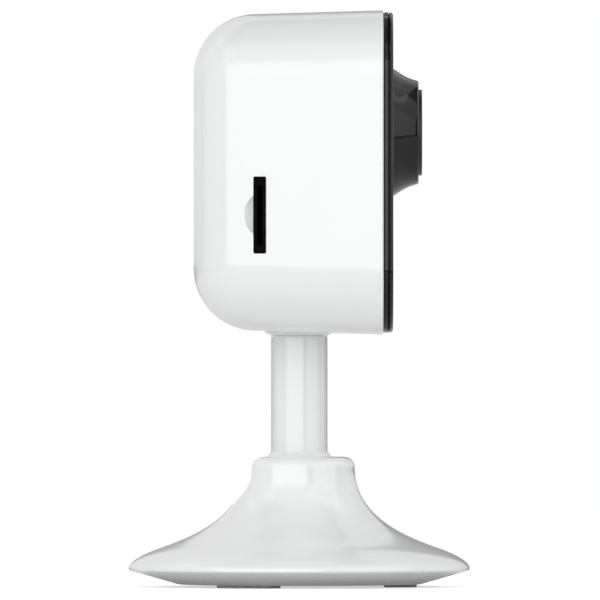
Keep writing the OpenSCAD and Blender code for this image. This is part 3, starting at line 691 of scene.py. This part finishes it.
def make_lens():
    """Lens bezel that flares into the panel, with the trim ring and domed glass in its mouth."""
    panel_y = PANEL_LOW.y
    tip_y = HOUSING_LOW.y
    tip_round = 0.45
    tip_r = 9.75
    root_r = HOUSING_HIGH.x
    trim_r = TRIM_HIGH.x
    seat_y = TRIM_HIGH.y
    bore_r, sleeve_r, sleeve_y = 7.55, 9.5, -13.9
    root = (root_r, panel_y)
    tip = (tip_r, tip_y + tip_round)
    flare = (root, (root[0] - 0.75, root[1] - 1.3), (tip[0] + 0.6, tip[1] + 2.2), tip)
    outline = [(bore_r, sleeve_y), (sleeve_r, sleeve_y), (sleeve_r, panel_y),
               (root_r - 0.1, panel_y)]
    outline += [cubic(flare, i / 24) for i in range(25)]
    outline += arc(tip_r - tip_round, tip_y + tip_round, tip_round, 0, -90, 8)[1:]
    outline += [(trim_r + 0.2, tip_y), (trim_r + 0.05, tip_y + 0.15), (trim_r + 0.04, seat_y),
                (bore_r, seat_y)]
    housing = lathe("lens_bezel", outline, axis="Y", centre_z=LENS_Z, segments=192)
    finish_piece(housing, BLACK_GLOSS, "head", "black_gloss", "lens_housing")

    trim_y = TRIM_LOW.y
    trim_bore_r, trim_back = 6.4, seat_y - 0.02
    ring = lathe("lens_trim", fillet([
        (trim_r, trim_y, 0.18), (trim_r, trim_back, 0), (trim_bore_r, trim_back, 0),
        (trim_bore_r, trim_y + 0.55, 0.08), (7.0, trim_y, 0.12)]),
        axis="Y", centre_z=LENS_Z, segments=192)
    finish_piece(ring, BLACK, "head", "black_matte", "lens_trim_ring")

    dome_r, dome_h, dome_edge_r = 22.0, 0.85, 6.3
    glass_r = 7.5
    glass_front, glass_back = seat_y + 0.01, seat_y + 0.8
    half_angle = math.degrees(math.asin(dome_edge_r / dome_r))
    centre_y = seat_y - dome_h + dome_r
    dome = [(dome_r * math.sin(math.radians(a)), centre_y - dome_r * math.cos(math.radians(a)))
            for a in np.linspace(0, half_angle, 16)]
    outline = dome + [(dome_edge_r, glass_front), (glass_r, glass_front), (glass_r, glass_back),
                      (0, glass_back)]
    cover = lathe("lens_cover", outline, axis="Y", centre_z=LENS_Z, segments=128)
    finish_piece(cover, CLEAR, "head", "clear_glass", "cover_glass")


def make_button():
    """Dished key with a flange that keeps it behind the rear wall, and a stalk."""
    low, high = BUTTON_LOW.y, BUTTON_HIGH.y
    key_r, flange_r, stalk_r = 1.9, 2.6, 0.9
    flange_low, flange_high = 17.04, 17.92
    button = lathe("reset_key", fillet([
        (0, high - 0.25, 0), (0.9, high - 0.2, 0.3), (1.45, high, 0.15), (key_r, high, 0.2),
        (key_r, flange_high, 0), (flange_r, flange_high, 0.05), (flange_r, flange_low, 0.05),
        (stalk_r, flange_low, 0), (stalk_r, low, 0.1), (0, low, 0)]),
        axis="Y", centre_z=REAR_ROW_Z, segments=64)
    finish_piece(shift_x(button, BUTTON_X), BLACK, "button", "black_matte", "reset_button")


# ---------------------------------------------------------------- stem and base

def make_stem():
    """Post with the ball at its foot and the spigot for the head at its top."""
    join_z = PIVOT_Z + math.sqrt(BALL_R ** 2 - STEM_R ** 2)
    top_angle = math.degrees(math.atan2(join_z - PIVOT_Z, STEM_R))
    outline = [(0, PIVOT_Z - BALL_R)]
    outline += arc(0, PIVOT_Z, BALL_R, -88, top_angle, 48)
    shoulder_z, shoulder_round, spigot_r = 47.1, 0.08, 3.6
    outline += [(STEM_R, join_z + 0.3), (STEM_R, shoulder_z - 0.5)]
    outline += arc(STEM_R - shoulder_round, shoulder_z - shoulder_round, shoulder_round, 0, 90, 4)
    outline += [(spigot_r, shoulder_z), (spigot_r, STEM_HIGH.z), (0, STEM_HIGH.z)]
    stem = lathe("stem_post", outline)
    finish_piece(stem, WHITE, "stem", "white_shell", "stem")


NECK_R = 10.4
NECK_EDGE = 2.0
FLARE_MID = (24.8, 7.75)
FLARE_ANGLE = math.radians(20)
RIM_R = BASE_HIGH.x
RIM_Z = 3.3


def base_outline():
    """Outer outline of the base from its neck to its rim, as (radius, height)."""
    top = (NECK_R, NECK_Z - NECK_EDGE)
    dx, dz = math.cos(FLARE_ANGLE), -math.sin(FLARE_ANGLE)
    mid_x, mid_z = FLARE_MID
    neck_pull, flare_pull_in, flare_pull_out, rim_pull = 8.4, 7, 1.7, 2.2
    neck = (top, (top[0], top[1] - neck_pull),
            (mid_x - flare_pull_in * dx, mid_z - flare_pull_in * dz), FLARE_MID)
    rim = (FLARE_MID, (mid_x + flare_pull_out * dx, mid_z + flare_pull_out * dz),
           (RIM_R, RIM_Z + rim_pull), (RIM_R, RIM_Z))
    outline = arc(NECK_R - NECK_EDGE, NECK_Z - NECK_EDGE, NECK_EDGE, 90, 0, 10)
    outline += [cubic(neck, i / 48) for i in range(1, 49)]
    outline += [cubic(rim, i / 28) for i in range(1, 29)]
    return outline


def neck_slot_cutter():
    """U-shaped cutter for the slot in the back of the neck."""
    above = NECK_Z + 3
    outline = [(NECK_SLOT, above)]
    outline += arc(0, PIVOT_Z, NECK_SLOT, 0, -180, 40)
    outline += [(-NECK_SLOT, above)]
    return loft("cutter", [[(x, y, z) for x, z in outline] for y in (0.0, 20.0)])


def on_slot_edge(p):
    """Whether a point in millimetres is on the edge of the slot in the neck."""
    front_y, foot_z = 4.0, 14.8
    return abs(p.x) <= NECK_SLOT + 0.1 and p.y > front_y and p.z > foot_z


def make_base():
    """Hollow base with a round seat for the ball in its neck."""
    seat_r = BALL_R + 0.1
    seat_z = 16.5
    seat_angle = math.degrees(math.asin((NECK_Z - PIVOT_Z) / seat_r))
    mouth_r = seat_r * math.cos(math.radians(seat_angle))
    lip_r, cup_r, cup_z = 30.2, 8.48, 10.5
    outline = [(mouth_r, NECK_Z)]
    outline += base_outline()
    outline += [(31.85, 3.08), (31.5, 2.95), (30.25, 2.62), (lip_r, 2.7), (lip_r, RIM_Z),
                (29.6, RIM_Z), (24.1, 5.7), (18.9, 7.75), (14.1, cup_z), (cup_r, cup_z),
                (cup_r, seat_z), (seat_r, seat_z)]
    outline += arc(0, PIVOT_Z, seat_r, 0, seat_angle, 12)[:-1]
    shell = lathe("base_cover", outline, segments=256)
    cut(shell, neck_slot_cutter())
    bevel_edges(shell, width_mm=0.35, wanted=on_slot_edge)
    finish_piece(shell, WHITE, "base", "white_shell", "base_shell")


FOOT_ANGLES = [math.radians(a) for a in (270, 30, 150)]
FOOT_RING = 18.9
FOOT_LEN, FOOT_WID, FOOT_R = 6.2, 11.6, 1.6


def foot_loft(name, profile, angle):
    """Pad with a profile of (height, inset), set on the foot circle."""
    rings = []
    for z, inset in profile:
        ring = square_ring(0, FOOT_LEN / 2 - inset, FOOT_WID / 2 - inset, FOOT_R - inset,
                           steps=10, support=0.1)
        rings.append([(FOOT_RING + x, w, z) for x, _, w in ring])
    pad = loft(name, rings)
    pad.data.transform(Matrix.Rotation(angle, 4, "Z"))
    return pad


def make_underside():
    """Dished bottom plate, and three rubber pads in recesses in it."""
    low, high = PLATE_LOW.z, PLATE_HIGH.z
    edge_r, floor_z = 30.1, 2.4
    outline = fillet([
        (0, low, 0), (22.7, low, 3.0), (edge_r, 2.62, 0.15),
        (edge_r, high, 0.1), (27.5, high, 0), (24.6, floor_z, 0), (0, floor_z, 0)])
    plate = lathe("bottom_plate", outline, segments=192)
    recess = [(-0.5, -0.2), (low, -0.2), (low + 0.15, -0.06), (low + 0.5, -0.06)]
    for angle in FOOT_ANGLES:
        cut(plate, foot_loft("cutter", recess, angle))
    # The plate's grey is partly painted shade of the down-facing underside
    finish_piece(plate, GREY_AND_UNDERSIDE_SHADE, "base", "grey_plate", "base_plate")
    profile = [(0.98, 0.0), (0.3, 0.0), (0.12, 0.06), (0.03, 0.18), (0.0, 0.36)]
    for index, angle in enumerate(FOOT_ANGLES, 1):
        pad = foot_loft(f"foot_pad_{index}", profile, angle)
        finish_piece(pad, RUBBER, "base", "rubber", f"foot_{index}")


# ---------------------------------------------------------------- studio

AIM = Vector((0, 0, 0.06))
LIGHT_DISTANCE = 0.9


def towards(right_deg, up_deg):
    """Unit direction from the object, in degrees right of the camera's side and up."""
    right, up = math.radians(right_deg), math.radians(up_deg)
    return Vector((-math.cos(right) * math.cos(up), -math.sin(right) * math.cos(up), math.sin(up)))


def softbox(name, right, up, radiance):
    """Rectangular softbox that spans two angles right of the camera and two angles up."""
    half_w = math.radians(right[1] - right[0]) / 2
    half_h = math.radians(up[1] - up[0]) / 2
    place = AIM + LIGHT_DISTANCE * towards(sum(right) / 2, sum(up) / 2)
    width = 2 * LIGHT_DISTANCE * math.tan(half_w)
    height = 2 * LIGHT_DISTANCE * math.tan(half_h)
    data = bpy.data.lights.new(name, "AREA")
    data.shape = "RECTANGLE"
    data.size, data.size_y = width, height
    data.energy = radiance * math.pi * width * height
    lamp = add_object(name, data)
    lamp.location = place
    lamp.rotation_euler = (AIM - place).to_track_quat("-Z", "Y").to_euler()
    lamp.visible_camera = False


def window(tree, value, low, high, soft):
    """1 where low < value < high, with soft edges."""
    parts = []
    for edge, flip in ((low, False), (high, True)):
        step = node(tree, "ShaderNodeMapRange", From_Min=edge - soft, From_Max=edge + soft,
                    To_Min=1.0 if flip else 0.0, To_Max=0.0 if flip else 1.0)
        step.interpolation_type = "SMOOTHSTEP"
        tree.links.new(value, step.inputs["Value"])
        parts.append(step.outputs["Result"])
    return math_node(tree, "MULTIPLY", *parts)


def make_world(fill):
    """White to the camera. The light that falls on the object is a dimmer fill, with dark
    flags right of the camera's side that draw the thin dark edges of a studio shot."""
    flag_shade = 0.75
    world = bpy.data.worlds.new("studio")
    bpy.context.scene.world = world
    world.use_nodes = True
    tree = world.node_tree
    tree.nodes.clear()
    coords = tree.nodes.new("ShaderNodeTexCoord")
    split = tree.nodes.new("ShaderNodeSeparateXYZ")
    tree.links.new(coords.outputs["Generated"], split.inputs["Vector"])
    back_x = math_node(tree, "MULTIPLY", split.outputs["X"], -1.0)
    back_y = math_node(tree, "MULTIPLY", split.outputs["Y"], -1.0)
    turn = math_node(tree, "ARCTAN2", back_y, back_x)
    right = math_node(tree, "MULTIPLY", turn, 180 / math.pi)
    near_flag = window(tree, right, low=15.0, high=30.0, soft=3.0)
    far_flag = window(tree, right, low=130.0, high=172.0, soft=8.0)
    dark = math_node(tree, "MAXIMUM", near_flag, far_flag)
    level = math_node(tree, "MULTIPLY_ADD", dark, -flag_shade * fill, fill)
    out = tree.nodes.new("ShaderNodeOutputWorld")
    seen = node(tree, "ShaderNodeBackground", Strength=1.0)
    seen.inputs["Color"].default_value = (1, 1, 1, 1)
    lit = node(tree, "ShaderNodeBackground")
    lit.inputs["Color"].default_value = (1, 1, 1, 1)
    tree.links.new(level, lit.inputs["Strength"])
    path = tree.nodes.new("ShaderNodeLightPath")
    mix = tree.nodes.new("ShaderNodeMixShader")
    tree.links.new(path.outputs["Is Camera Ray"], mix.inputs["Fac"])
    tree.links.new(lit.outputs["Background"], mix.inputs[1])
    tree.links.new(seen.outputs["Background"], mix.inputs[2])
    tree.links.new(mix.outputs["Shader"], out.inputs["Surface"])


def make_floor():
    """Pale table top, softly lit so that it meets the white background."""
    made, tree, shader = material("pale_floor")
    cloud = noise(tree, object_coords(tree), 6.0, 3.0)
    tree.links.new(ramp(tree, cloud, (0.80, 0.80, 0.80), (0.82, 0.82, 0.82)),
                   shader.inputs["Base Color"])
    shader.inputs["Roughness"].default_value = 0.9
    shader.inputs["Specular IOR Level"].default_value = 0.0
    path = tree.nodes.new("ShaderNodeLightPath")
    shader.inputs["Emission Color"].default_value = (1, 1, 1, 1)
    glow, glow_to_camera = 0.1, 0.5
    tree.links.new(remap(tree, path.outputs["Is Camera Ray"], glow, glow_to_camera),
                   shader.inputs["Emission Strength"])
    radius, sides = 0.6, 96
    turns = [2 * math.pi * k / sides for k in range(sides)]
    rim = [(radius * math.cos(a), radius * math.sin(a), 0) for a in turns]
    mesh = bpy.data.meshes.new("floor")
    mesh.from_pydata(rim, [], [tuple(range(sides))])
    mesh.materials.append(made)
    floor = add_object("floor", mesh)


def make_studio():
    make_world(fill=0.32)
    make_floor()
    softbox("key", (-57, 16), (-3.5, 30), 2.0)
    softbox("key_upper", (-62, 16), (30, 62), 0.6)
    softbox("rear_side", (-115, -62), (-3, 50), 0.55)
    softbox("front_side", (30, 84), (-3.5, 30), 1.05)
    softbox("front_upper", (30, 84), (30, 62), 0.8)
    softbox("far_left", (-172, -118), (0, 60), 0.5)
    softbox("far_right", (95, 165), (0, 60), 0.65)


def make_camera():
    """Long lens square to the left side, close to a parallel view."""
    view_width = 0.1125
    view_centre = Vector((0, -0.00013, 0.0538))
    lens_mm, sensor_mm = 1200.0, 36.0
    distance = view_width * lens_mm / sensor_mm
    data = bpy.data.cameras.new("camera")
    data.lens = lens_mm
    data.sensor_width = sensor_mm
    data.clip_end = 100.0
    camera = add_object("camera", data)
    camera.location = view_centre + Vector((-distance, 0, 0))
    camera.rotation_euler = (math.pi / 2, 0, -math.pi / 2)
    bpy.context.scene.camera = camera


def set_view_transform():
    settings = bpy.context.scene.view_settings
    settings.view_transform = "Standard"
    settings.look = "None"


make_camera()
dress_cad_nodes()
make_casing()
make_collar()
make_panel()
make_lens()
make_button()
make_stem()
make_base()
make_underside()
make_studio()
set_view_transform()
bpy.context.view_layer.update()
